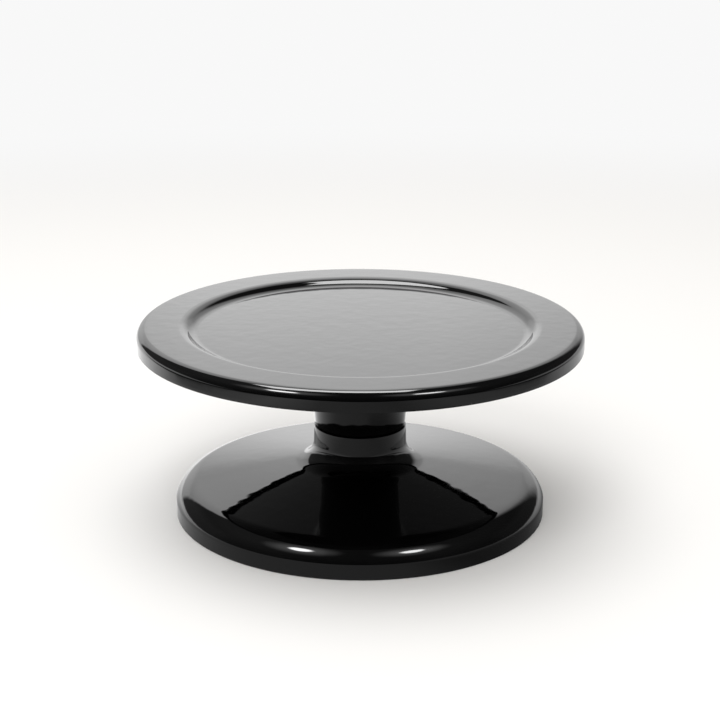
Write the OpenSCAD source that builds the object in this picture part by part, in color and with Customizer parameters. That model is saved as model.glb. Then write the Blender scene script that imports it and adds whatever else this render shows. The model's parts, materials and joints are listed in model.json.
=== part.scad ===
// Cake turntable: a dish plate with a tapered barrel under it, which spins on a
// ball thrust bearing in the neck of a trumpet-shaped pedestal.
// Millimetres, +Z up. The origin is on the spin axis, where the feet stand.

/* [Plate] */
// Outside diameter of the plate
plate_d = 310; // [290:5:320]
// Height of the plate's top face above the table
plate_z = 136.5; // [134:0.5:145]
// Wall thickness of the plate's seat and rim
plate_wall = 3.2; // [2.6:0.1:3.6]
// Height of the plate's rim, from its top face to the skirt's lower edge
rim_h = 13.6; // [12:0.1:16]
// Rounding of the rim's upper edge
rim_round = 6.5; // [5:0.1:8]
// Depth of the cake seat
seat_depth = 4.9; // [4:0.1:6]
// Diameter of the cake seat's flat floor
seat_d = 225; // [215:1:235]
// Steepest slope of the step round the cake seat
seat_slope = 40; // [35:1:45]

/* [Barrel] */
// Diameter of the plate's barrel at its lower edge
barrel_d = 63.4; // [62.8:0.2:65]
// Draft of the barrel's side, which widens upward
barrel_draft = 5; // [3:0.5:6]
// Wall thickness of the barrel
barrel_wall = 3; // [2.6:0.1:3]
// Rounding between the barrel and the plate's underside
barrel_fillet = 8; // [4:0.5:12]
// Open joint between the barrel and the pedestal's neck
barrel_gap = 0.8; // [0.6:0.1:1.4]

/* [Pedestal] */
// Diameter of the pedestal's foot
base_d = 261; // [251:2:269]
// Height of the top of the vertical skirt
skirt_z = 11; // [9:0.5:13]
// Rounding of the dome's shoulder
dome_r = 20; // [18:0.5:26]
// Fall of the conical part of the dome
cone_fall = 9.6; // [8:0.2:11]
// Height of the conical part at a radius of 90
cone_z = 28.2; // [27:0.2:29]
// Rounding between the cone and the neck
flare_r = 15.5; // [6:0.5:16]
// Diameter of the neck's top
neck_d = 64.8; // [64:0.2:66]
// Height of the neck's top
neck_z = 62.4; // [61:0.1:63]
// Draft of the neck's side, which widens downward
neck_draft = 1.5; // [0.5:0.1:3]
// Wall thickness of the pedestal
base_wall = 3; // [2.5:0.1:3.5]

/* [Bearing] */
// Diameter of the bearing balls
ball_d = 5; // [4.8:0.1:5.2]
// Number of bearing balls
ball_count = 14; // [8:1:18]
// Diameter of the circle that the balls run on
ball_circle_d = 41; // [40:0.5:42]
// Diameter of the spindle
spindle_d = 12; // [10:0.5:12]
// Running clearance of the spindle in its bushes, on the radius
spindle_play = 0.05; // [0.02:0.01:0.1]

/* [Feet] */
// Number of rubber feet, ribs and cover screws
foot_count = 6; // [3:1:6]
// Diameter of a foot
foot_d = 18; // [14:1:20]
// Height that the pedestal stands clear of the table
foot_proud = 0.6; // [0.6:0.1:1.5]

/* [Hidden] */

$fn = 96;
through = 0.5;          // how far a cutting solid runs past the face that it opens
edge_round = 0.8;       // rounding of the small moulded edges
joint_round = 0.5;      // rounding of the two edges at the joint of barrel and neck

// Plate
plate_r = plate_d / 2;
seat_r = seat_d / 2;
seat_z = plate_z - seat_depth;
step_round = seat_depth / (2 * (1 - cos(seat_slope)));
flange_r = seat_r + 2 * step_round * sin(seat_slope);
plate_under_z = seat_z - plate_wall;
rim_z = plate_z - rim_h;
rib_t = 2.4;

// Barrel, and the carrier that closes its lower end
barrel_z = neck_z + barrel_gap;
barrel_r = barrel_d / 2;
barrel_top_z = plate_under_z + plate_wall / 2;  // where the barrel's wall ends inside the plate
barrel_web_t = 3;
carrier_play = 0.2;
carrier_r = barrel_r - barrel_wall - carrier_play;
carrier_h = 6.8;
carrier_top_z = barrel_z + carrier_h;
carrier_floor_h = 3.3;  // thickness of the carrier's floor above the barrel's lower edge
carrier_screw_circle_r = 23.5;
carrier_screw_count = 4;
carrier_boss_r = 4.6;
function barrel_r_at(z) = barrel_r + (z - barrel_z) * tan(barrel_draft);
function barrel_bore_at(z) = barrel_r_at(z) - barrel_wall;

// Pedestal: the wall's faces are the same outline at an inset of 0 and of base_wall
base_r = base_d / 2;
neck_r = neck_d / 2;
cone_ref_r = 90;
cone_n = [sin(cone_fall), cos(cone_fall)];      // outward normal of the cone
neck_n = [cos(neck_draft), sin(neck_draft)];    // outward normal of the neck
cone_at_axis = cone_z + cone_ref_r * tan(cone_fall);
// The dome's centre lies dome_r below the cone and dome_r from the skirt's top corner
dome_line = cone_at_axis - dome_r / cos(cone_fall);
dome_a = 1 + pow(tan(cone_fall), 2);
dome_b = -2 * base_r - 2 * tan(cone_fall) * (dome_line - skirt_z);
dome_c = base_r * base_r + pow(dome_line - skirt_z, 2) - dome_r * dome_r;
dome_x = (-dome_b - sqrt(dome_b * dome_b - 4 * dome_a * dome_c)) / (2 * dome_a);
dome_centre = [dome_x, dome_line - tan(cone_fall) * dome_x];
// The flare's centre lies flare_r above the cone and flare_r outside the neck
flare_cone = cone_at_axis + flare_r / cos(cone_fall);
flare_neck = neck_r + tan(neck_draft) * neck_z + flare_r / cos(neck_draft);
flare_x = (flare_neck - tan(neck_draft) * flare_cone) / (1 - tan(neck_draft) * tan(cone_fall));
flare_centre = [flare_x, flare_cone - tan(cone_fall) * flare_x];
function skirt_top(inset) =
    dome_centre.y + sqrt(pow(dome_r - inset, 2) - pow(base_r - inset - dome_centre.x, 2));

// Bearing, from the pocket's floor upward
pocket_r = 27.5;
pocket_z = 50;
pocket_floor = 3.5;
race_t = 2.6;
race_in_r = 14;
race_out_r = pocket_r - 0.2;
ball_r = ball_d / 2;
ball_play = 0.05;
groove_r = ball_r + ball_play;
groove_depth = 0.7;
ball_circle_r = ball_circle_d / 2;
ball_z = pocket_z + race_t + groove_r - groove_depth;
upper_race_z = 2 * ball_z - pocket_z - race_t;
carrier_boss_z = upper_race_z + race_t;
carrier_neck_r = pocket_r - 1;
pilot_r = race_in_r - 0.2;
pilot_h = 2;
cage_t = 2;
cage_play = 0.1;
cage_in_r = 16;
cage_out_r = 25.5;

// Spindle and bushes
spindle_r = spindle_d / 2;
bush_r = 8.5;
bush_flange_r = 12;
bush_flange_t = 1.5;
bush_l = 12;
tube_r = 13;
tube_z = 22;
thread_r = 5;
washer_t = 1.6;
washer_r = 11;
end_play = 0.3;
shoulder_z = tube_z - bush_flange_t - end_play;
nut_flats = 17;
nut_h = 7.8;
nut_collar_r = 8;
nut_collar_h = 2;
insert_r = 6.8;
insert_h = 1.6;
nut_top_z = shoulder_z - washer_t;
spindle_end_z = nut_top_z - nut_h - nut_collar_h - 1;
spindle_flange_r = 20;
spindle_flange_t = 3.5;
spindle_flange_z = barrel_z + carrier_floor_h;
spindle_flange_play = 0.3;
spindle_screw_circle_r = 15.5;
spindle_screw_count = 4;

// Screws
m5_r = 2.5;
m5_head_r = 4.25;
m5_head_h = 3;
m5_l = 8.5;
tapping_r = 1.7;
tapping_hole_r = 2.2;
tapping_head_r = 4;
tapping_head_h = 2.3;
cross_w = 1;
cross_l = 4.4;
cross_depth = 1.2;
carrier_screw_l = 12.5;
carrier_screw_z = barrel_z + tapping_head_h;    // underside of the carrier screws' heads
cover_screw_l = 13.7;

// Cover and feet
cover_t = 3;
cover_recess = 0.8;
cover_z = foot_proud + cover_recess;
cover_top_z = cover_z + cover_t;
cover_r = base_r - base_wall - 0.4;
cover_pad_h = 2;
cover_pad_r = 7;
cover_screw_circle_r = 96;
base_boss_r = 5;
base_boss_z = cover_top_z + cover_pad_h;
foot_r = foot_d / 2;
foot_circle_r = 112;
foot_pocket = 1.2;
foot_h = cover_z + foot_pocket;
foot_play = 0.2;

function spoke(i, count, offset) = (i + offset) * 360 / count;

module around(count, radius, offset = 0) {
    for (i = [0:count - 1])
        rotate([0, 0, spoke(i, count, offset)])
            translate([radius, 0, 0])
                children();
}

module ring(inner, outer, low, high) {
    rotate_extrude()
        translate([inner, low])
            square([outer - inner, high - low]);
}

module cross_recess(z) {
    for (turn = [0, 90])
        rotate([0, 0, turn])
            translate([-cross_l / 2, -cross_w / 2, z])
                cube([cross_l, cross_w, cross_depth + through]);
}

// The pedestal's outline from foot to neck, moved inward by inset
module pedestal_outline(inset, low) {
    dome_end = dome_centre + (dome_r - inset) * cone_n;
    flare_start = flare_centre - (flare_r + inset) * cone_n;
    flare_end = flare_centre - (flare_r + inset) * neck_n;
    skirt_end = [base_r - inset, skirt_top(inset)];
    top_r = neck_r - inset;
    difference() {
        union() {
            polygon([[0, low], [base_r - inset, low], skirt_end, dome_end, flare_start, flare_end,
                     [top_r, neck_z - joint_round], [top_r - joint_round, neck_z], [0, neck_z]]);
            round_corner(dome_centre, dome_r - inset, skirt_end, [skirt_end.x, dome_end.y], dome_end);
            translate([top_r - joint_round, neck_z - joint_round])
                circle(joint_round);
        }
        translate(flare_centre)
            circle(flare_r + inset);
    }
}

module pedestal_cavity(inset) {
    intersection() {
        rotate_extrude()
            pedestal_outline(inset, -through);
        translate([-base_r, -base_r, -through])
            cube([base_d, base_d, pocket_z - pocket_floor + through]);
    }
}

module pedestal_ribs() {
    intersection() {
        pedestal_cavity(base_wall / 2);
        union() {
            for (i = [0:foot_count - 1])
                rotate([90, 0, spoke(i, foot_count, 0)])
                    linear_extrude(rib_t, center = true)
                        polygon([[tube_r - 1, tube_z + 4], [40, 12], [104, 12], [112, cover_top_z],
                                 [base_r, cover_top_z], [base_r, pocket_z], [tube_r - 1, pocket_z]]);
            around(foot_count, cover_screw_circle_r, 0.5)
                translate([0, 0, base_boss_z])
                    cylinder(h = pocket_z, r = base_boss_r);
        }
    }
}

module base_pedestal() {
    color([0.02, 0.02, 0.02])
        difference() {
            union() {
                difference() {
                    rotate_extrude()
                        pedestal_outline(0, foot_proud);
                    pedestal_cavity(base_wall);
                }
                pedestal_ribs();
                ring(0, tube_r, tube_z, pocket_z);
            }
            translate([0, 0, pocket_z])
                cylinder(h = neck_z, r = pocket_r);
            translate([0, 0, tube_z - through])
                cylinder(h = neck_z, r = bush_r);
            around(foot_count, cover_screw_circle_r, 0.5)
                translate([0, 0, base_boss_z - through])
                    cylinder(h = cover_screw_l, r = tapping_r);
        }
}

module base_cover() {
    color([0.05, 0.05, 0.05])
        difference() {
            union() {
                ring(0, cover_r, cover_z, cover_top_z);
                around(foot_count, cover_screw_circle_r, 0.5)
                    translate([0, 0, cover_z])
                        cylinder(h = cover_t + cover_pad_h, r = cover_pad_r);
            }
            around(foot_count, cover_screw_circle_r, 0.5) {
                translate([0, 0, cover_z - through])
                    cylinder(h = tapping_head_h + 0.2 + through, r = tapping_head_r + 0.3);
                translate([0, 0, cover_z])
                    cylinder(h = cover_t + cover_pad_h + through, r = tapping_hole_r);
            }
            around(foot_count, foot_circle_r)
                translate([0, 0, cover_z - through])
                    cylinder(h = foot_pocket + through, r = foot_r + foot_play);
        }
}

// A screw that points up, with the underside of its head at z = 0
module tapping_screw(length) {
    difference() {
        union() {
            translate([0, 0, -tapping_head_h])
                cylinder(h = tapping_head_h, r = tapping_head_r);
            cylinder(h = length, r = tapping_r);
        }
        mirror([0, 0, 1])
            cross_recess(tapping_head_h - cross_depth);
    }
}

module cover_screws() {
    color([0.65, 0.66, 0.68])
        around(foot_count, cover_screw_circle_r, 0.5)
            translate([0, 0, cover_z + tapping_head_h + 0.2])
                tapping_screw(cover_screw_l);
}

module foot(i) {
    color([0.08, 0.08, 0.08])
        rotate([0, 0, spoke(i - 1, foot_count, 0)])
            translate([foot_circle_r, 0, 0])
                rotate_extrude() {
                    square([foot_r - edge_round, foot_h]);
                    translate([0, edge_round])
                        square([foot_r, foot_h - edge_round]);
                    translate([foot_r - edge_round, edge_round])
                        circle(edge_round);
                }
}

// A flanged sleeve with its flange from z = 0 up and its body below
module bush() {
    color([0.9, 0.89, 0.85])
        union() {
            ring(spindle_r + spindle_play, bush_r, -bush_l, bush_flange_t);
            ring(spindle_r + spindle_play, bush_flange_r, 0, bush_flange_t);
        }
}

module upper_bush() {
    translate([0, 0, pocket_z])
        bush();
}

module lower_bush() {
    translate([0, 0, tube_z])
        mirror([0, 0, 1])
            bush();
}

module race(outer, low) {
    color([0.72, 0.73, 0.75])
        rotate_extrude()
            difference() {
                translate([race_in_r, low])
                    square([outer - race_in_r, race_t]);
                translate([ball_circle_r, ball_z])
                    circle(groove_r);
            }
}

module lower_race() {
    race(race_out_r, pocket_z);
}

module upper_race() {
    race(race_out_r - 0.3, upper_race_z);
}

module ball_cage() {
    color([0.16, 0.14, 0.12])
        difference() {
            ring(cage_in_r, cage_out_r, ball_z - cage_t / 2, ball_z + cage_t / 2);
            around(ball_count, ball_circle_r)
                translate([0, 0, ball_z - cage_t])
                    cylinder(h = 2 * cage_t, r = ball_r + cage_play);
        }
}

module bearing_balls() {
    color([0.85, 0.86, 0.88])
        around(ball_count, ball_circle_r)
            translate([0, 0, ball_z])
                sphere(ball_r);
}

// Part of a disc that fills a corner between two points of an outline
module round_corner(centre, radius, from, corner, to) {
    intersection() {
        translate(centre)
            circle(radius);
        polygon([from, corner, to]);
    }
}

// The step between seat and flange is two equal arcs that meet at the seat's slope. The
// plate's underside is flat below it, so the flange is thicker than the seat
module plate_step(rim_x) {
    low_centre = [seat_r, seat_z + step_round];
    high_centre = [flange_r, plate_z - step_round];
    middle = (low_centre + high_centre) / 2;
    high_top = [flange_r, plate_z];
    difference() {
        polygon([[seat_r, plate_under_z], [seat_r, seat_z], middle, high_top,
                 [rim_x, plate_z], [rim_x, plate_under_z]]);
        translate(low_centre)
            circle(step_round);
    }
    round_corner(high_centre, step_round, middle,
                 [flange_r - step_round * tan(seat_slope / 2), plate_z], high_top);
}

module plate_outline() {
    skirt_low = rim_z + edge_round;
    rim_centre = [plate_r - rim_round, plate_z - rim_round];
    translate([0, plate_under_z])
        square([seat_r, plate_wall]);
    plate_step(rim_centre.x);
    intersection() {
        union() {
            translate(rim_centre)
                circle(rim_round);
            translate([rim_centre.x, rim_z])
                square([rim_round, rim_centre.y - rim_z]);
        }
        translate([rim_centre.x, plate_under_z])
            square([rim_round, plate_z - plate_under_z]);
    }
    translate([plate_r - plate_wall, skirt_low])
        square([plate_wall, rim_centre.y - skirt_low]);
    translate([plate_r - plate_wall, rim_z])
        square([plate_wall - edge_round, rim_h - rim_round]);
    translate([plate_r - edge_round, skirt_low])
        circle(edge_round);
}

// The barrel's wall, from its lower edge into the plate
module barrel_outline() {
    fillet_z = plate_under_z - barrel_fillet;
    fillet_end_z = fillet_z + barrel_fillet * sin(barrel_draft);
    fillet_x = barrel_r_at(fillet_end_z) + barrel_fillet * cos(barrel_draft);
    difference() {
        union() {
            polygon([[barrel_bore_at(barrel_z), barrel_z], [barrel_r - joint_round, barrel_z],
                     [barrel_r_at(barrel_z + joint_round), barrel_z + joint_round],
                     [barrel_r_at(fillet_end_z), fillet_end_z], [fillet_x, plate_under_z],
                     [fillet_x, barrel_top_z], [barrel_bore_at(barrel_top_z), barrel_top_z]]);
            translate([barrel_r - joint_round, barrel_z + joint_round])
                circle(joint_round);
        }
        translate([fillet_x, fillet_z])
            circle(barrel_fillet);
    }
}

// The columns inside the barrel that take the carrier's screws
module barrel_columns() {
    web_low_r = barrel_bore_at(carrier_top_z) + barrel_wall / 2;
    web_high_r = barrel_bore_at(barrel_top_z) + barrel_wall / 2;
    around(carrier_screw_count, carrier_screw_circle_r, 0.5)
        translate([0, 0, carrier_top_z])
            cylinder(h = barrel_top_z - carrier_top_z, r = carrier_boss_r);
    for (i = [0:carrier_screw_count - 1])
        rotate([90, 0, spoke(i, carrier_screw_count, 0.5)])
            linear_extrude(barrel_web_t, center = true)
                polygon([[carrier_screw_circle_r, carrier_top_z], [web_low_r, carrier_top_z],
                         [web_high_r, barrel_top_z], [carrier_screw_circle_r, barrel_top_z]]);
}

module turntable_plate() {
    color([0.02, 0.02, 0.02])
        difference() {
            union() {
                rotate_extrude() {
                    plate_outline();
                    barrel_outline();
                }
                barrel_columns();
            }
            around(carrier_screw_count, carrier_screw_circle_r, 0.5)
                translate([0, 0, carrier_top_z - through])
                    cylinder(h = carrier_screw_l, r = tapping_r);
        }
}

module bearing_carrier() {
    color([0.05, 0.05, 0.05])
        difference() {
            union() {
                ring(0, carrier_r, barrel_z, carrier_top_z);
                ring(0, carrier_neck_r, carrier_boss_z, carrier_top_z);
                ring(0, pilot_r, carrier_boss_z - pilot_h, carrier_top_z);
            }
            translate([0, 0, carrier_boss_z - pilot_h - through])
                cylinder(h = carrier_top_z, r = spindle_r);
            translate([0, 0, spindle_flange_z])
                cylinder(h = carrier_h, r = spindle_flange_r + spindle_flange_play);
            around(spindle_screw_count, spindle_screw_circle_r)
                translate([0, 0, spindle_flange_z + spindle_flange_t - m5_l])
                    cylinder(h = m5_l, r = m5_r);
            around(carrier_screw_count, carrier_screw_circle_r, 0.5) {
                translate([0, 0, carrier_boss_z - through])
                    cylinder(h = carrier_screw_z - carrier_boss_z + through, r = tapping_head_r + 0.2);
                translate([0, 0, carrier_boss_z])
                    cylinder(h = carrier_top_z, r = tapping_hole_r);
            }
        }
}

module carrier_screws() {
    color([0.65, 0.66, 0.68])
        around(carrier_screw_count, carrier_screw_circle_r, 0.5)
            translate([0, 0, carrier_screw_z])
                tapping_screw(carrier_screw_l);
}

module spindle() {
    color([0.75, 0.76, 0.78])
        difference() {
            union() {
                ring(0, thread_r, spindle_end_z, shoulder_z);
                ring(0, spindle_r, shoulder_z, spindle_flange_z);
                ring(0, spindle_flange_r, spindle_flange_z, spindle_flange_z + spindle_flange_t);
            }
            around(spindle_screw_count, spindle_screw_circle_r)
                translate([0, 0, spindle_flange_z - through])
                    cylinder(h = spindle_flange_t + 2 * through, r = m5_r);
        }
}

module spindle_screws() {
    color([0.4, 0.4, 0.42])
        around(spindle_screw_count, spindle_screw_circle_r)
            translate([0, 0, spindle_flange_z + spindle_flange_t])
                difference() {
                    union() {
                        cylinder(h = m5_head_h, r = m5_head_r);
                        translate([0, 0, -m5_l])
                            cylinder(h = m5_l, r = m5_r);
                    }
                    translate([0, 0, m5_head_h / 2])
                        cylinder(h = m5_head_h, r = m5_head_r / 2, $fn = 6);
                }
}

module retaining_washer() {
    color([0.72, 0.73, 0.75])
        ring(thread_r + 0.1, washer_r, nut_top_z, shoulder_z);
}

module lock_nut() {
    collar_z = nut_top_z - nut_h - nut_collar_h;
    color([0.65, 0.66, 0.68])
        difference() {
            union() {
                translate([0, 0, collar_z + nut_collar_h])
                    cylinder(h = nut_h, r = nut_flats / 2 / cos(30), $fn = 6);
                ring(0, nut_collar_r, collar_z, collar_z + nut_collar_h);
            }
            translate([0, 0, collar_z - through])
                cylinder(h = nut_h + nut_collar_h + 2 * through, r = thread_r);
            ring(0, insert_r, nut_top_z - nut_h - insert_h, nut_top_z - nut_h);
        }
}

module nut_insert() {
    color([0.15, 0.25, 0.6])
        ring(thread_r, insert_r, nut_top_z - nut_h - insert_h, nut_top_z - nut_h);
}

base_pedestal();
base_cover();
cover_screws();
for (i = [1:foot_count])
    foot(i);
upper_bush();
lower_bush();
lower_race();
ball_cage();
bearing_balls();
upper_race();
turntable_plate();
bearing_carrier();
carrier_screws();
spindle();
spindle_screws();
retaining_washer();
lock_nut();
nut_insert();
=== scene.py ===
"""Looks of the cake turntable: glossy black mouldings, bearing parts and a white studio.

The mouldings are turned again from their own profiles, so that their gloss is smooth.
Every other part keeps its CAD mesh. Lengths are in metres.
"""

import json
import math

import bmesh
import bpy
from mathutils import Matrix, Vector


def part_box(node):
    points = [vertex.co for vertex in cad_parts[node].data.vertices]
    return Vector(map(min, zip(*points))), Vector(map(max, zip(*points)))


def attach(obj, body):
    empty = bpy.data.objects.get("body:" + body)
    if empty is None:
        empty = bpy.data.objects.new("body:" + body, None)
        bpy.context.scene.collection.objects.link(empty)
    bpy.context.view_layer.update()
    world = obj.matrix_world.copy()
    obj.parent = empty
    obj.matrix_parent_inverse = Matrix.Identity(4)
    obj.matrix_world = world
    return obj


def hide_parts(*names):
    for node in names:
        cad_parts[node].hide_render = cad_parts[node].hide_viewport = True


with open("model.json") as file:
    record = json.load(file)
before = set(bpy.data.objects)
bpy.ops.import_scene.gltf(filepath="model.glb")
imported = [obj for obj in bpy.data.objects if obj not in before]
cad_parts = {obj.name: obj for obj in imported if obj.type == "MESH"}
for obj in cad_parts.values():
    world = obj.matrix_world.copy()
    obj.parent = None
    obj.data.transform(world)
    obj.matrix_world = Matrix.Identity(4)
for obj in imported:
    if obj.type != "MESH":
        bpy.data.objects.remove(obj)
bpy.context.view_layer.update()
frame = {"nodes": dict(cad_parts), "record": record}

MM = 0.001
TURN_STEPS = 384
ARC_STEPS = 24
EDGE_STEPS = 8
FILLET_STEPS = 16
BOSS_STEPS = 40
MESH_GAP = 2.0 * MM
ON_AXIS = 1e-7
SHARP_ANGLE = math.radians(28)


# --- sizes: some read from the frame's boxes, the rest given ------------------------

plate_low, plate_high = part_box("turntable_plate")
pedestal_low, pedestal_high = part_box("base_pedestal")
carrier_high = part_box("bearing_carrier")[1]
cover_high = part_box("base_cover")[1]

PLATE_R = plate_high.x
PLATE_TOP = plate_high.z
PLATE_WALL = 3.2 * MM
RIM_LOW = PLATE_TOP - 13.6 * MM
RIM_ROUND = 6.5 * MM
SEAT_R = 112.5 * MM
SEAT_Z = PLATE_TOP - 4.9 * MM
SEAT_SLOPE = math.radians(40)
STEP_ROUND = (PLATE_TOP - SEAT_Z) / (2 * (1 - math.cos(SEAT_SLOPE)))
FLANGE_R = SEAT_R + 2 * STEP_ROUND * math.sin(SEAT_SLOPE)
PLATE_UNDER = SEAT_Z - PLATE_WALL
RIB_T = 2.4 * MM
EDGE_ROUND = 0.8 * MM
JOINT_ROUND = 0.5 * MM
BEVEL = 0.3 * MM
SKIRT_BEVEL = 0.4 * MM
SCREW_HOLE_R = 1.7 * MM

BASE_R = 130.5 * MM
BASE_WALL = 3 * MM
BASE_DROP = 0.45 * MM
BASE_LOW = pedestal_low.z - BASE_DROP
SKIRT_Z = 11 * MM
DOME_ROUND = 20 * MM
CONE_FALL = math.radians(9.6)
CONE_REF = (90 * MM, 28.2 * MM)
FLARE_ROUND = 15.5 * MM
NECK_R = 32.4 * MM
NECK_TOP = pedestal_high.z
NECK_DRAFT = math.radians(1.5)
POCKET_R = 27.5 * MM
POCKET_Z = 50 * MM
POCKET_FLOOR = 3.5 * MM
TUBE_R = 13 * MM
TUBE_BORE = 8.5 * MM
TUBE_LOW = 22 * MM
RIBS = 6
RIB_START = TUBE_R - 1 * MM
RIB_TUBE_LOW = TUBE_LOW + 4 * MM
RIB_LOW = 12 * MM
RIB_INNER_R = 40 * MM
RIB_OUTER_R = 104 * MM
RIB_COVER_R = 112 * MM
RIB_COVER_PLAY = 2 * MM
RIB_SHOULDER_R = 60 * MM
RIB_LEVEL_R = 50 * MM
COVER_SCREW_R = 96 * MM
COVER_BOSS_R = 5 * MM
COVER_HOLE = 13.2 * MM

BARREL_LOW = plate_low.z
BARREL_R = 31.7 * MM
BARREL_DRAFT = math.radians(5)
BARREL_WALL = 3 * MM
BARREL_FILLET = 8 * MM
BARREL_WEB = 3 * MM
CARRIER_TOP = carrier_high.z
SCREW_CIRCLE = 23.5 * MM
SCREWS = 4
BARREL_BOSS_R = 4.6 * MM
BARREL_HOLE = 12 * MM


# The studio's levels: 1 is white. Angles are in degrees, places on the floor in metres.
PEAK = 4.0
BACKGROUND = 0.94
HALO = 3.2
FILL = 0.79
FILL_COLOUR = (1.0, 0.985, 0.955)
FLOOR_R = 6.0
# Depth of the painted shadow in the floor's reflection, right of the base.
PAINTED_SHADE = 0.62
BACKDROP = [
    (-90, 1.35), (0, 1.45), (10, 1.9), (15, 2.03), (17.5, 1.87), (19.5, 1.9), (22, 2.13),
    (28, 2.5), (38, 2.9), (46, 3.1), (53, 2.6), (60, 2.0), (66, 1.2), (70, 0.2), (90, 0.0),
]
BACKDROP_BY_SIDE = [
    (-180, 0.66), (-38, 0.66), (-20, 0.66), (-12, 0.65), (-5, 0.95), (3, 0.91), (8, 0.75),
    (14, 0.52), (20, 0.5), (30, 0.42), (180, 0.42),
]
ROOM = [(-90, 0.06), (0, 0.06), (20, 0.09), (40, 0.15), (70, 0.16), (90, 0.16)]
ROOM_BY_SIDE = [
    (-180, 0.4), (-150, 0.5), (-120, 0.9), (-90, 1.1), (-40, 0.8), (0, 1.0), (40, 0.4), (90, 0.6),
    (130, 0.8), (150, 0.5), (180, 0.4),
]
HORIZON = [(-90, 1.0), (1.5, 1.0), (4, 0.04), (22, 0.04), (32, 0.0), (90, 0.0)]
HORIZON_BY_SIDE = [
    (-180, 0.0), (-95, 0.0), (-80, 1.5), (-40, 1.7), (-34, 0.0), (28, 0.0), (40, 1.0), (80, 0.9),
    (95, 0.0), (180, 0.0),
]
# Painted reflection of the floor: emitted levels across the floor, front, back and outside the
# paper, standing in for its light and shade.
FLOOR_FRONT = [
    (-1.5, 0.3), (-0.6, 0.4), (-0.33, 0.9), (-0.15, 0.42), (0, 0.36), (0.15, 0.3), (0.33, 0.55),
    (0.6, 0.4), (1.5, 0.3),
]
FLOOR_BACK = [
    (-1.5, 1.6), (-0.2, 1.7), (-0.05, 1.5), (0.05, 1.0), (0.15, 0.8), (0.3, 0.9), (1.5, 0.8),
]
FLOOR_OUTSIDE = [(-6, 1.4), (-1.5, 1.2), (-1.1, 0.1), (0, 0.05), (1.1, 0.1), (1.5, 0.9), (6, 1.0)]
FLOOR_COLOUR = (0.86, 0.855, 0.85)
PAPER_WIDENS = 0.75

# Soft edges: where the level is full, and where there is none.
BACKDROP_LEFT = (-34, -39)
BACKDROP_RIGHT = (24, 38)
PAPER_SIDE = (0.45, 0.62)
PAPER_BACK = (0.25, -0.12)
PAPER_FRONT = (-0.6, -0.85)
FLOOR_FAR = (1.6, 0.8)
# Where the painted shadow in the floor's reflection lies, right of the base.
SHADE_SPREAD = (0.14, 0.2)
SHADE_SIDE = (0.09, 0.03)
HALO_FADE = (0.1, 0.5)

CAMERA_PLACE = (-0.0002, -1.1672, 0.4725)
CAMERA_DOWN = 17.3
CAMERA_ROLL = 0.172
CAMERA_LENS = 87.45
CAMERA_SENSOR = 36
CAMERA_REACH = 20


# --- profiles --------------------------------------------------------------------

def arc(centre, radius, start, end, steps=ARC_STEPS):
    """Points on an arc from one angle to another, in degrees, both ends included."""
    return [
        (
            centre[0] + radius * math.cos(math.radians(start + (end - start) * k / steps)),
            centre[1] + radius * math.sin(math.radians(start + (end - start) * k / steps)),
        )
        for k in range(steps + 1)
    ]


def even(profile):
    """The same profile with its long straight stretches split up."""
    out = []
    for a, b in zip(profile, profile[1:]):
        steps = max(1, round(math.dist(a, b) / MESH_GAP))
        out += [
            (a[0] + (b[0] - a[0]) * k / steps, a[1] + (b[1] - a[1]) * k / steps)
            for k in range(steps)
        ]
    return out + [profile[-1]]


def finish_mesh(name, bm):
    mesh = bpy.data.meshes.new(name)
    bmesh.ops.recalc_face_normals(bm, faces=bm.faces[:])
    bm.to_mesh(mesh)
    bm.free()
    for polygon in mesh.polygons:
        polygon.use_smooth = True
    mesh.set_sharp_from_angle(angle=SHARP_ANGLE)
    obj = bpy.data.objects.new(name, mesh)
    bpy.context.scene.collection.objects.link(obj)
    return obj


def turned(bm, profile, closed=True, steps=TURN_STEPS, centre=(0, 0)):
    """Adds a surface of revolution. A point on the axis is one shared vertex."""

    def place(r, z, k):
        angle = 2 * math.pi * k / steps
        return (centre[0] + r * math.cos(angle), centre[1] + r * math.sin(angle), z)

    rows = [
        [bm.verts.new(place(r, z, k)) for k in range(1 if r < ON_AXIS else steps)]
        for r, z in profile
    ]
    pairs = list(zip(rows, rows[1:]))
    if closed:
        pairs.append((rows[-1], rows[0]))
    for low, high in pairs:
        if len(low) == 1 and len(high) == 1:
            continue
        for k in range(steps):
            n = (k + 1) % steps
            if len(low) == 1:
                bm.faces.new((low[0], high[n], high[k]))
            elif len(high) == 1:
                bm.faces.new((low[k], low[n], high[0]))
            else:
                bm.faces.new((low[k], low[n], high[n], high[k]))


def rib(bm, angle, outline, thickness):
    """Adds a flat rib whose outline is in (radius, height), turned to an angle."""
    turn = Matrix.Rotation(angle, 4, "Z")
    sides = []
    for y in (-thickness / 2, thickness / 2):
        sides.append([bm.verts.new(turn @ Vector((r, y, z))) for r, z in outline])
    bm.faces.new(sides[0])
    bm.faces.new(sides[1][::-1])
    for k in range(len(outline)):
        n = (k + 1) % len(outline)
        bm.faces.new((sides[0][k], sides[0][n], sides[1][n], sides[1][k]))


def boss(bm, radius, angle, outer, low, high, depth):
    """Adds a round screw boss that stands down, with a blind hole."""
    bore = SCREW_HOLE_R
    profile = [(outer, high), (outer, low), (bore, low), (bore, depth), (0, depth)]
    centre = (radius * math.cos(angle), radius * math.sin(angle))
    turned(bm, profile, closed=False, steps=BOSS_STEPS, centre=centre)


# --- the plate --------------------------------------------------------------------

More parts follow.
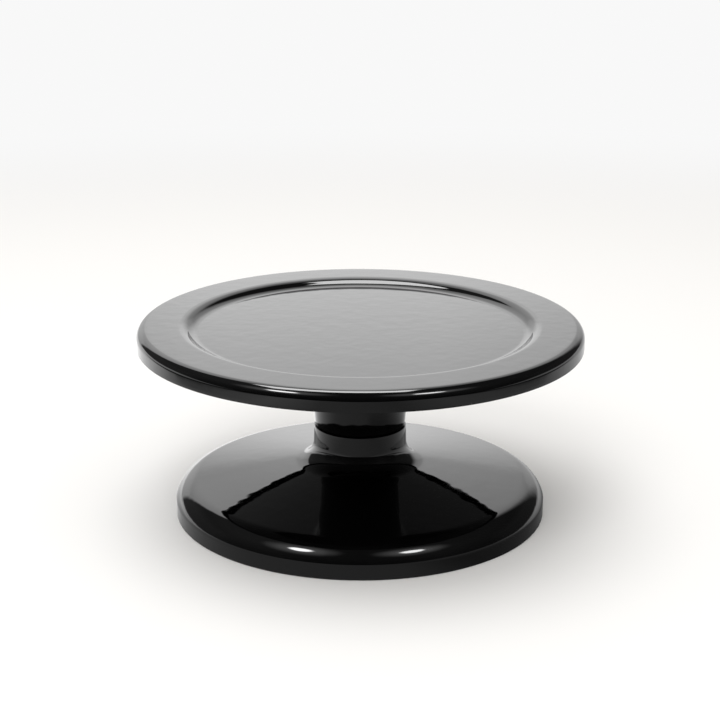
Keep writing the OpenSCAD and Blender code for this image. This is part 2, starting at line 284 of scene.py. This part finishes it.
def plate_profile():
    slope = math.degrees(SEAT_SLOPE)
    low = (SEAT_R, SEAT_Z + STEP_ROUND)
    high = (FLANGE_R, PLATE_TOP - STEP_ROUND)
    rim = (PLATE_R - RIM_ROUND, PLATE_TOP - RIM_ROUND)
    inner_r = PLATE_R - PLATE_WALL
    top = [(0, SEAT_Z)]
    top += arc(low, STEP_ROUND, -90, slope - 90)
    top += arc(high, STEP_ROUND, 90 + slope, 90)[1:]
    top += arc(rim, RIM_ROUND, 90, 0)
    top += arc((PLATE_R - EDGE_ROUND, RIM_LOW + EDGE_ROUND), EDGE_ROUND, 0, -90, EDGE_STEPS)
    top += [(inner_r + BEVEL, RIM_LOW), (inner_r, RIM_LOW + BEVEL)]
    under = [(inner_r, PLATE_UNDER), (0, PLATE_UNDER)]
    return even(top) + even(under)


def barrel_radius(z):
    return BARREL_R + (z - BARREL_LOW) * math.tan(BARREL_DRAFT)


def barrel_profile():
    """The barrel's outside, from the plate's underside down, and its bore up to it again."""
    draft = math.degrees(BARREL_DRAFT)
    fillet_z = PLATE_UNDER - BARREL_FILLET
    fillet_end = fillet_z + BARREL_FILLET * math.sin(BARREL_DRAFT)
    fillet_x = barrel_radius(fillet_end) + BARREL_FILLET * math.cos(BARREL_DRAFT)
    low = (BARREL_R - JOINT_ROUND, BARREL_LOW + JOINT_ROUND)
    bore = barrel_radius(BARREL_LOW) - BARREL_WALL
    side = arc((fillet_x, fillet_z), BARREL_FILLET, 90, 180 - draft, FILLET_STEPS)
    side += arc(low, JOINT_ROUND, -draft, -90, EDGE_STEPS)
    side += [(bore + BEVEL, BARREL_LOW), (bore, BARREL_LOW + BEVEL)]
    side += [(barrel_radius(PLATE_UNDER) - BARREL_WALL, PLATE_UNDER)]
    return side


def make_plate():
    bm = bmesh.new()
    profile = plate_profile()
    turned(bm, even(profile[:-1] + barrel_profile() + [(0, PLATE_UNDER)]), closed=False)
    high = PLATE_UNDER + PLATE_WALL / 2
    bore_low = barrel_radius(CARRIER_TOP) - BARREL_WALL / 2
    bore_high = barrel_radius(high) - BARREL_WALL / 2
    for k in range(SCREWS):
        angle = (k + 0.5) * 2 * math.pi / SCREWS
        boss(bm, SCREW_CIRCLE, angle, BARREL_BOSS_R, CARRIER_TOP, high, CARRIER_TOP + BARREL_HOLE)
        web = [(SCREW_CIRCLE, CARRIER_TOP), (bore_low, CARRIER_TOP)]
        rib(bm, angle, web + [(bore_high, high), (SCREW_CIRCLE, high)], BARREL_WEB)
    obj = finish_mesh("plate_moulding", bm)
    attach(obj, "turntable")
    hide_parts("turntable_plate")
    return obj


# --- the pedestal -----------------------------------------------------------------

def pedestal_centres():
    """Centres of the shoulder's and the flare's arcs."""
    slope = math.tan(CONE_FALL)
    at_axis = CONE_REF[1] + CONE_REF[0] * slope
    line = at_axis - DOME_ROUND / math.cos(CONE_FALL)
    a = 1 + slope * slope
    b = -2 * BASE_R - 2 * slope * (line - SKIRT_Z)
    c = BASE_R**2 + (line - SKIRT_Z) ** 2 - DOME_ROUND**2
    dome_x = (-b - math.sqrt(b * b - 4 * a * c)) / (2 * a)
    flare_cone = at_axis + FLARE_ROUND / math.cos(CONE_FALL)
    draft = math.tan(NECK_DRAFT)
    flare_neck = NECK_R + draft * NECK_TOP + FLARE_ROUND / math.cos(NECK_DRAFT)
    flare_x = (flare_neck - draft * flare_cone) / (1 - draft * slope)
    return (dome_x, line - slope * dome_x), (flare_x, flare_cone - slope * flare_x)


def pedestal_side(inset, top):
    """The pedestal's side from skirt to neck, moved inward by inset and cut at a height."""
    dome, flare = pedestal_centres()
    fall = math.degrees(CONE_FALL)
    draft = math.degrees(NECK_DRAFT)
    radius = DOME_ROUND - inset
    start = math.degrees(math.acos((BASE_R - inset - dome[0]) / radius))
    side = arc(dome, radius, start, 90 - fall)
    side += arc(flare, FLARE_ROUND + inset, -90 - fall, -180 + draft)
    return [p for p in side if p[1] < top]


def pedestal_profile():
    web_low = POCKET_Z - POCKET_FLOOR
    inner = BASE_R - BASE_WALL
    side = [(inner + BEVEL, BASE_LOW), (BASE_R - SKIRT_BEVEL, BASE_LOW)]
    side += [(BASE_R, BASE_LOW + SKIRT_BEVEL)]
    side += pedestal_side(0, NECK_TOP)
    side += arc((NECK_R - JOINT_ROUND, NECK_TOP - JOINT_ROUND), JOINT_ROUND, 0, 90, EDGE_STEPS)
    side += [(POCKET_R + BEVEL, NECK_TOP), (POCKET_R, NECK_TOP - BEVEL)]
    side += [(POCKET_R, POCKET_Z), (TUBE_BORE, POCKET_Z), (TUBE_BORE, TUBE_LOW)]
    side += [(TUBE_R, TUBE_LOW), (TUBE_R, web_low)]
    side += pedestal_side(BASE_WALL, web_low)[::-1]
    side += [(inner, BASE_LOW + BEVEL)]
    return even(side)


def make_pedestal():
    bm = bmesh.new()
    turned(bm, pedestal_profile())
    cone_drop = math.tan(CONE_FALL)
    middle = BASE_WALL / 2 / math.cos(CONE_FALL)

    def under_cone(r):
        return CONE_REF[1] + (CONE_REF[0] - r) * cone_drop - middle

    cover_top = cover_high.z - RIB_COVER_PLAY
    for k in range(RIBS):
        outline = [(RIB_START, RIB_TUBE_LOW), (RIB_INNER_R, RIB_LOW), (RIB_OUTER_R, RIB_LOW)]
        outline += [(RIB_COVER_R, cover_top), (BASE_R - BASE_WALL / 2, cover_top)]
        shoulder = pedestal_side(BASE_WALL / 2, POCKET_Z)
        outline += [p for p in shoulder if p[0] > RIB_SHOULDER_R]
        outline += [(r, under_cone(RIB_LEVEL_R)) for r in (RIB_LEVEL_R, RIB_START)]
        rib(bm, k * 2 * math.pi / RIBS, outline, RIB_T)
        boss(
            bm, COVER_SCREW_R, (k + 0.5) * 2 * math.pi / RIBS, COVER_BOSS_R,
            cover_high.z, under_cone(COVER_SCREW_R + COVER_BOSS_R), cover_high.z + COVER_HOLE,
        )
    obj = finish_mesh("pedestal_moulding", bm)
    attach(obj, "base")
    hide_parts("base_pedestal")
    return obj


# --- materials --------------------------------------------------------------------

IOR = 1.5
ROUGH_SPREAD = (-0.06, 0.08)


class Shader:
    """A small helper that adds nodes to one material."""

    def __init__(self, name, colour, roughness, metallic=0.0):
        self.material = bpy.data.materials.new(name)
        self.material.use_nodes = True
        self.tree = self.material.node_tree
        self.bsdf = self.tree.nodes["Principled BSDF"]
        self.bsdf.inputs["Base Color"].default_value = (*colour, 1)
        self.bsdf.inputs["Roughness"].default_value = roughness
        self.bsdf.inputs["Metallic"].default_value = metallic
        self.bsdf.inputs["IOR"].default_value = IOR
        self.coords = self.add("ShaderNodeTexCoord").outputs["Object"]
        self.last_normal = None

    def add(self, kind):
        return self.tree.nodes.new(kind)

    def link(self, a, b):
        self.tree.links.new(a, b)

    def stretched(self, scale):
        mapping = self.add("ShaderNodeMapping")
        mapping.inputs["Scale"].default_value = scale
        self.link(self.coords, mapping.inputs["Vector"])
        return mapping.outputs["Vector"]

    def noise(self, scale, detail=3.0, roughness=0.5, stretch=None):
        node = self.add("ShaderNodeTexNoise")
        node.inputs["Scale"].default_value = scale
        node.inputs["Detail"].default_value = detail
        node.inputs["Roughness"].default_value = roughness
        self.link(self.stretched(stretch) if stretch else self.coords, node.inputs["Vector"])
        return node.outputs["Fac"]

    def ramp(self, value, low, high, start=0.0, end=1.0):
        node = self.add("ShaderNodeMapRange")
        node.inputs["From Min"].default_value = low
        node.inputs["From Max"].default_value = high
        node.inputs["To Min"].default_value = start
        node.inputs["To Max"].default_value = end
        self.link(value, node.inputs["Value"])
        return node.outputs["Result"]

    def math(self, operation, a, b=0.0):
        node = self.add("ShaderNodeMath")
        node.operation = operation
        for k, value in enumerate((a, b)):
            if isinstance(value, (int, float)):
                node.inputs[k].default_value = value
            else:
                self.link(value, node.inputs[k])
        return node.outputs["Value"]

    def bump(self, height, strength, distance):
        node = self.add("ShaderNodeBump")
        node.inputs["Strength"].default_value = strength
        node.inputs["Distance"].default_value = distance
        self.link(height, node.inputs["Height"])
        if self.last_normal:
            self.link(self.last_normal, node.inputs["Normal"])
        self.last_normal = node.outputs["Normal"]
        self.link(self.last_normal, self.bsdf.inputs["Normal"])

    def vary_roughness(self, value):
        self.link(value, self.bsdf.inputs["Roughness"])


def gloss_black():
    """Polished black moulding: slightly wavy, with faint smears."""
    s = Shader("gloss_black", (0.0012, 0.0012, 0.0013), 0.05)
    s.bump(s.noise(95.0, 1.0), 1.0, 0.00007)
    smears = s.ramp(s.noise(22.0, 4.0, 0.6), 0.4, 0.75, 0.02, 0.06)
    s.vary_roughness(smears)
    return s.material


def satin_black():
    s = Shader("satin_black", (0.018, 0.018, 0.018), 0.42)
    s.bump(s.noise(1500.0, 2.0), 0.25, 0.00005)
    s.vary_roughness(s.ramp(s.noise(30.0, 4.0), 0.3, 0.7, 0.36, 0.5))
    return s.material


def rubber():
    s = Shader("rubber_black", (0.02, 0.02, 0.02), 0.75)
    s.bump(s.noise(900.0, 3.0), 0.4, 0.00008)
    s.vary_roughness(s.ramp(s.noise(80.0, 3.0), 0.3, 0.7, 0.68, 0.85))
    return s.material


def metal(name, colour, roughness, spread, stretch, scale=400.0):
    s = Shader(name, colour, roughness, metallic=1.0)
    grain = s.noise(scale, 3.0, 0.6, stretch)
    s.bump(grain, 0.15, 0.00003)
    s.vary_roughness(s.ramp(grain, 0.3, 0.7, roughness - spread, roughness + spread))
    return s.material


def plastic(name, colour, roughness):
    s = Shader(name, colour, roughness)
    s.bump(s.noise(700.0, 2.0), 0.15, 0.00004)
    s.vary_roughness(s.ramp(s.noise(60.0, 3.0), 0.3, 0.7, *(roughness + d for d in ROUGH_SPREAD)))
    return s.material


MATERIALS = {
    "gloss_black": gloss_black(),
    "satin_black": satin_black(),
    "rubber_black": rubber(),
    "zinc": metal("zinc", (0.62, 0.64, 0.66), 0.3, 0.08, (1, 1, 1), 300.0),
    "acetal": plastic("acetal", (0.8, 0.79, 0.74), 0.4),
    "race_steel": metal("race_steel", (0.6, 0.6, 0.62), 0.2, 0.06, (1, 1, 12)),
    "cage_nylon": plastic("cage_nylon", (0.06, 0.052, 0.045), 0.45),
    "ball_steel": metal("ball_steel", (0.75, 0.75, 0.77), 0.07, 0.03, (1, 1, 1), 900.0),
    "turned_steel": metal("turned_steel", (0.55, 0.56, 0.58), 0.25, 0.07, (1, 1, 25), 500.0),
    "black_steel": metal("black_steel", (0.06, 0.06, 0.065), 0.4, 0.08, (1, 1, 1), 500.0),
    "insert_nylon": plastic("insert_nylon", (0.03, 0.08, 0.38), 0.45),
}


def dress():
    slots = {s["node"]: s["material_slot"] for s in frame["record"]["subparts"]}
    for node, obj in frame["nodes"].items():
        obj.data.materials.clear()
        obj.data.materials.append(MATERIALS[slots[node]])
    for obj in (make_plate(), make_pedestal()):
        obj.data.materials.append(MATERIALS["gloss_black"])


# --- studio -----------------------------------------------------------------------

class Lamp(Shader):
    """The same helper for nodes that give light instead of a surface."""

    def __init__(self, owner, output):
        owner.use_nodes = True
        self.tree = owner.node_tree
        self.tree.nodes.clear()
        self.output = self.add(output)

    def axes(self, coords):
        split = self.add("ShaderNodeSeparateXYZ")
        self.link(self.add("ShaderNodeTexCoord").outputs[coords], split.inputs["Vector"])
        return [split.outputs[axis] for axis in "XYZ"]

    def curve(self, value, stops):
        """A level that goes in straight lines from stop to stop: (value, level)."""
        start, end = stops[0][0], stops[-1][0]
        node = self.add("ShaderNodeValToRGB")
        points = node.color_ramp.elements
        while len(points) < len(stops):
            points.new(0.5)
        for point, (at, level) in zip(points, stops):
            point.position = (at - start) / (end - start)
            point.color = (level / PEAK, level / PEAK, level / PEAK, 1)
        self.link(self.ramp(value, start, end), node.inputs["Fac"])
        return self.math("MULTIPLY", node.outputs["Color"], PEAK)

    def edge(self, value, full, none):
        """1 at full, 0 at none, and smooth in between."""
        node = self.add("ShaderNodeMapRange")
        node.interpolation_type = "SMOOTHSTEP"
        flip = full > none
        node.inputs["From Min"].default_value = none if flip else full
        node.inputs["From Max"].default_value = full if flip else none
        node.inputs["To Min"].default_value = 0.0 if flip else 1.0
        node.inputs["To Max"].default_value = 1.0 if flip else 0.0
        self.link(value, node.inputs["Value"])
        return node.outputs["Result"]

    def mix(self, factor, a, b):
        node = self.add("ShaderNodeMixShader")
        self.link(factor, node.inputs[0])
        self.link(a, node.inputs[1])
        self.link(b, node.inputs[2])
        return node.outputs["Shader"]

    def light(self, kind, strength, colour=(1, 1, 1)):
        node = self.add(kind)
        node.inputs["Color"].default_value = (*colour, 1)
        if isinstance(strength, (int, float)):
            node.inputs["Strength"].default_value = strength
        else:
            self.link(strength, node.inputs["Strength"])
        return node.outputs[0]

    def finish(self, shader):
        self.link(shader, self.output.inputs["Surface"])


def card(name, place, size, strength, soft, glow=0.0):
    """A soft-edged light seen in reflections only. With a glow it is an oval in a dim halo."""
    bm = bmesh.new()
    bmesh.ops.create_grid(bm, x_segments=1, y_segments=1, size=0.5)
    mesh = bpy.data.meshes.new(name)
    bm.to_mesh(mesh)
    bm.free()
    obj = bpy.data.objects.new(name, mesh)
    bpy.context.scene.collection.objects.link(obj)
    obj.location = place
    obj.rotation_mode = "QUATERNION"
    if glow:
        obj.rotation_quaternion = Vector(place).to_track_quat("Z", "Y")
    grow = HALO if glow else 1
    obj.scale = (size[0] * grow, size[1] * grow, 1)
    material = bpy.data.materials.new(name)
    s = Lamp(material, "ShaderNodeOutputMaterial")
    x, y, _ = s.axes("Object")
    if glow:
        square = s.math("ADD", s.math("MULTIPLY", x, x), s.math("MULTIPLY", y, y))
        off = s.math("SQRT", square)
        core = s.math("MULTIPLY", s.edge(off, (0.5 - soft) / HALO, 0.5 / HALO), strength)
        level = s.math("ADD", core, s.math("MULTIPLY", s.edge(off, *HALO_FADE), glow))
    else:
        across = s.edge(s.math("ABSOLUTE", x), 0.5 - soft, 0.5)
        along = s.edge(s.math("ABSOLUTE", y), 0.5 - soft, 0.5)
        level = s.math("MULTIPLY", s.math("MULTIPLY", across, along), strength)
    clear = s.add("ShaderNodeBsdfTransparent")
    light = s.light("ShaderNodeEmission", level)
    both = s.add("ShaderNodeAddShader")
    s.link(clear.outputs[0], both.inputs[0])
    s.link(light, both.inputs[1])
    s.finish(both.outputs[0])
    mesh.materials.append(material)
    obj.visible_camera = False
    obj.visible_shadow = False
    obj.visible_diffuse = False


def toward(azimuth, elevation, distance, height=0.05):
    """A place at a direction from the object. Azimuth 0 is the camera's side, + is right."""
    a, e = math.radians(azimuth), math.radians(elevation)
    way = Vector((math.sin(a) * math.cos(e), -math.cos(a) * math.cos(e), math.sin(e)))
    return way * distance + Vector((0, 0, height))


def make_floor():
    """A white floor. What the gloss shows of it is a painted reflection: an emitted level,
    painted lighter to the back, with a painted shadow right of the base.
    """
    bm = bmesh.new()
    bmesh.ops.create_circle(bm, cap_ends=True, segments=96, radius=FLOOR_R)
    mesh = bpy.data.meshes.new("floor")
    bm.to_mesh(mesh)
    bm.free()
    obj = bpy.data.objects.new("floor", mesh)
    bpy.context.scene.collection.objects.link(obj)
    material = bpy.data.materials.new("floor")
    s = Lamp(material, "ShaderNodeOutputMaterial")
    x, y, _ = s.axes("Object")
    widening = s.math("MULTIPLY", s.math("MAXIMUM", y, 0.0), PAPER_WIDENS)
    aside = s.edge(s.math("SUBTRACT", s.math("ABSOLUTE", x), widening), *PAPER_SIDE)
    back = s.edge(y, *PAPER_BACK)
    # Painted light on the paper as the gloss shows it: a level by place, lighter to the back.
    painted_paper_light = s.math(
        "ADD",
        s.math("MULTIPLY", s.math("SUBTRACT", 1.0, back), s.curve(x, FLOOR_FRONT)),
        s.math("MULTIPLY", back, s.curve(x, FLOOR_BACK)),
    )
    spread = s.math("SQRT", s.math("ADD", s.math("MULTIPLY", x, x), s.math("MULTIPLY", y, y)))
    # Painted shadow in the floor's reflection, close to the base on its right.
    painted_shadow_near_base = s.math("MULTIPLY", s.edge(spread, *SHADE_SPREAD), s.edge(x, *SHADE_SIDE))
    painted_shade = s.math("SUBTRACT", 1.0, s.math("MULTIPLY", painted_shadow_near_base, PAINTED_SHADE))
    # The floor's painted reflection: painted light and shadow, emitted for glossy rays only.
    painted_floor_reflection = s.math(
        "MULTIPLY",
        s.math("MULTIPLY", painted_shade, s.edge(y, *PAPER_FRONT)),
        s.math(
            "ADD",
            s.math("MULTIPLY", aside, painted_paper_light),
            s.math("MULTIPLY", s.math("SUBTRACT", 1.0, aside), s.curve(x, FLOOR_OUTSIDE)),
        ),
    )
    paint = s.add("ShaderNodeBsdfDiffuse")
    paint.inputs["Color"].default_value = (*FLOOR_COLOUR, 1)
    far = s.light("ShaderNodeEmission", BACKGROUND)
    seen = s.mix(s.edge(spread, *FLOOR_FAR), paint.outputs["BSDF"], far)
    path = s.add("ShaderNodeLightPath")
    gloss = s.light("ShaderNodeEmission", painted_floor_reflection)
    s.finish(s.mix(path.outputs["Is Glossy Ray"], seen, gloss))
    mesh.materials.append(material)


def make_world():
    """White to the camera, and an even fill for matt surfaces.

    The gloss shows a bright backdrop behind the object, in a dark room.
    """
    world = bpy.data.worlds.new("studio")
    bpy.context.scene.world = world
    s = Lamp(world, "ShaderNodeOutputWorld")
    x, y, z = s.axes("Generated")
    height = s.math("MULTIPLY", s.math("ARCSINE", z), 180 / math.pi)
    turn = s.math("MULTIPLY", s.math("ARCTAN2", x, y), 180 / math.pi)
    behind = s.math("MULTIPLY", s.edge(turn, *BACKDROP_LEFT), s.edge(turn, *BACKDROP_RIGHT))
    bright = s.math("MULTIPLY", s.curve(height, BACKDROP), s.curve(turn, BACKDROP_BY_SIDE))
    dark = s.math("MULTIPLY", s.curve(height, ROOM), s.curve(turn, ROOM_BY_SIDE))
    low = s.math("MULTIPLY", s.curve(height, HORIZON), s.curve(turn, HORIZON_BY_SIDE))
    level = s.math("ADD", s.math("ADD", dark, low), s.math("MULTIPLY", behind, bright))
    fill = s.light("ShaderNodeBackground", FILL, FILL_COLOUR)
    path = s.add("ShaderNodeLightPath")
    lit = s.mix(path.outputs["Is Diffuse Ray"], s.light("ShaderNodeBackground", level), fill)
    white = s.light("ShaderNodeBackground", BACKGROUND)
    s.finish(s.mix(path.outputs["Is Camera Ray"], lit, white))


def area_light(name, location, size, power):
    """A soft light that lights the floor but doesn't show in the gloss."""
    data = bpy.data.lights.new(name, "AREA")
    data.shape = "DISK"
    data.size = size
    data.energy = power
    obj = bpy.data.objects.new(name, data)
    bpy.context.scene.collection.objects.link(obj)
    obj.location = location
    obj.rotation_mode = "QUATERNION"
    obj.rotation_quaternion = Vector(location).to_track_quat("Z", "Y")
    obj.visible_glossy = False
    obj.visible_camera = False


def make_camera():
    data = bpy.data.cameras.new("camera")
    data.sensor_width = CAMERA_SENSOR
    data.lens = CAMERA_LENS
    data.clip_end = CAMERA_REACH
    obj = bpy.data.objects.new("camera", data)
    bpy.context.scene.collection.objects.link(obj)
    obj.location = CAMERA_PLACE
    look = Matrix.Rotation(math.radians(90 - CAMERA_DOWN), 4, "X")
    roll = Matrix.Rotation(math.radians(CAMERA_ROLL), 4, "Z")
    obj.rotation_euler = (look @ roll).to_euler()
    bpy.context.scene.camera = obj


def make_studio():
    make_world()
    make_floor()
    over, left, right = (-0.175, 0.16, 1.6), toward(-44, 48, 1.0), toward(38, 47, 1.0)
    card("overhead_card", over, size=(1.1, 0.62), strength=13.0, soft=0.08)
    card("left_card", left, size=(0.27, 0.22), strength=24.0, soft=0.2, glow=1.2)
    card("right_card", right, size=(0.26, 0.18), strength=20.0, soft=0.2, glow=1.2)
    area_light("top_light", (-0.25, 0.15, 1.8), size=1.3, power=10.5)
    area_light("front_light", toward(-20, 48, 1.9), size=0.9, power=9.0)
    make_camera()
    bpy.context.scene.view_settings.view_transform = "Standard"


dress()
make_studio()
